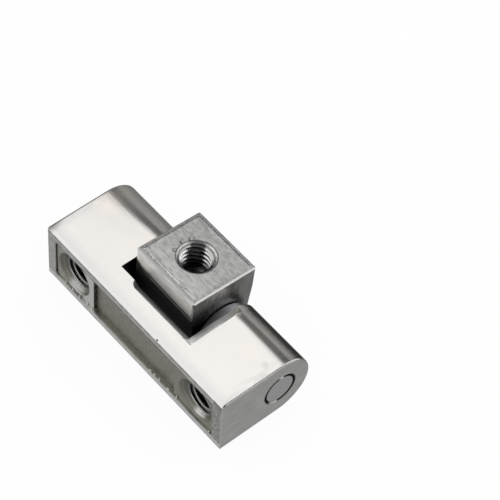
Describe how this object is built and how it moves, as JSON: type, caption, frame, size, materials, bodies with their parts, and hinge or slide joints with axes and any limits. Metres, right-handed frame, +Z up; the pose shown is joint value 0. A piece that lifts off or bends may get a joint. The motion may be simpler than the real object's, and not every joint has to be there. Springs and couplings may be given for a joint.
{
  "type": "cabinet hinge",
  "caption": "Half-round cast cabinet hinge: a tapped leaf swings on a pin in the notch of a long body that bolts on through tapped holes in its back face.",
  "frame": {"origin": "midway between the axes of the two tapped holes in the back face, where their threads begin", "axes": "+X along the hinge pin, +Y from the back face towards the round nose, +Z up, the way the leaf stands"},
  "size_m": [0.0436, 0.0191, 0.0171],
  "materials": {
    "polished_casting": "polished outer faces, as-cast recess in the back",
    "brushed_leaf": "belt-brushed top and sides",
    "pin_steel": "ground end faces",
    "washer_steel": "plain satin steel"
  },
  "bodies": {
    "housing": {"hinge_body": "polished_casting", "hinge_pin": "pin_steel", "thrust_washer_left": "washer_steel", "thrust_washer_right": "washer_steel"},
    "leaf": {"leaf": "brushed_leaf"}
  },
  "joints": [
    {"name": "leaf_swing", "type": "hinge", "parent": "housing", "child": "leaf", "pos_m": [0, 0.0108, 0], "axis": [-1, 0, 0], "range_deg": [-12, 185]}
  ]
}
